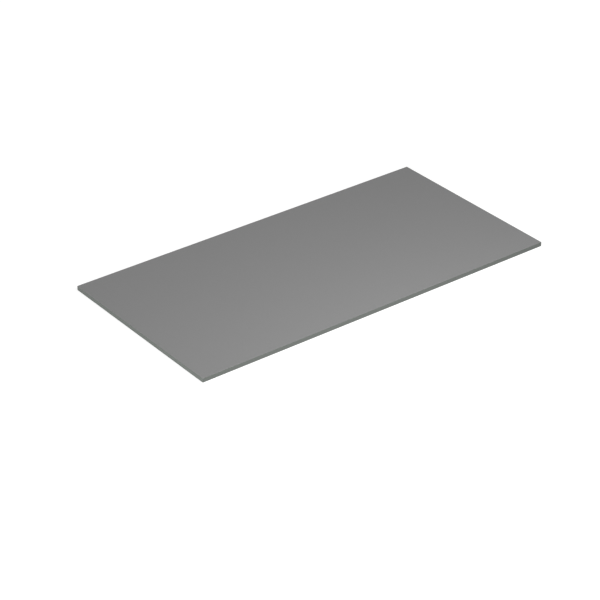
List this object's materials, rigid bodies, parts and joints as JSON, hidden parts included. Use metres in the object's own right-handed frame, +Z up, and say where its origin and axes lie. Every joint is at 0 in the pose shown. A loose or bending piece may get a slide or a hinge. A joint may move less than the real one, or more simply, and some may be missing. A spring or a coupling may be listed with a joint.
{
  "type": "kitchen worktop",
  "caption": "Thin one-piece kitchen worktop: a flat rectangular compact slab in plain matt grey, cut square, with every edge softly eased.",
  "frame": {"origin": "middle of the underside, on the surface that the slab lies on", "axes": "+X along the length; +Y from the front edge towards the back edge, which goes to the wall; +Z up out of the top face"},
  "size_m": [1.2, 0.605, 0.013],
  "materials": {
    "compact_slab": "satin"
  },
  "bodies": {
    "root": {"worktop": "compact_slab"}
  },
  "joints": []
}
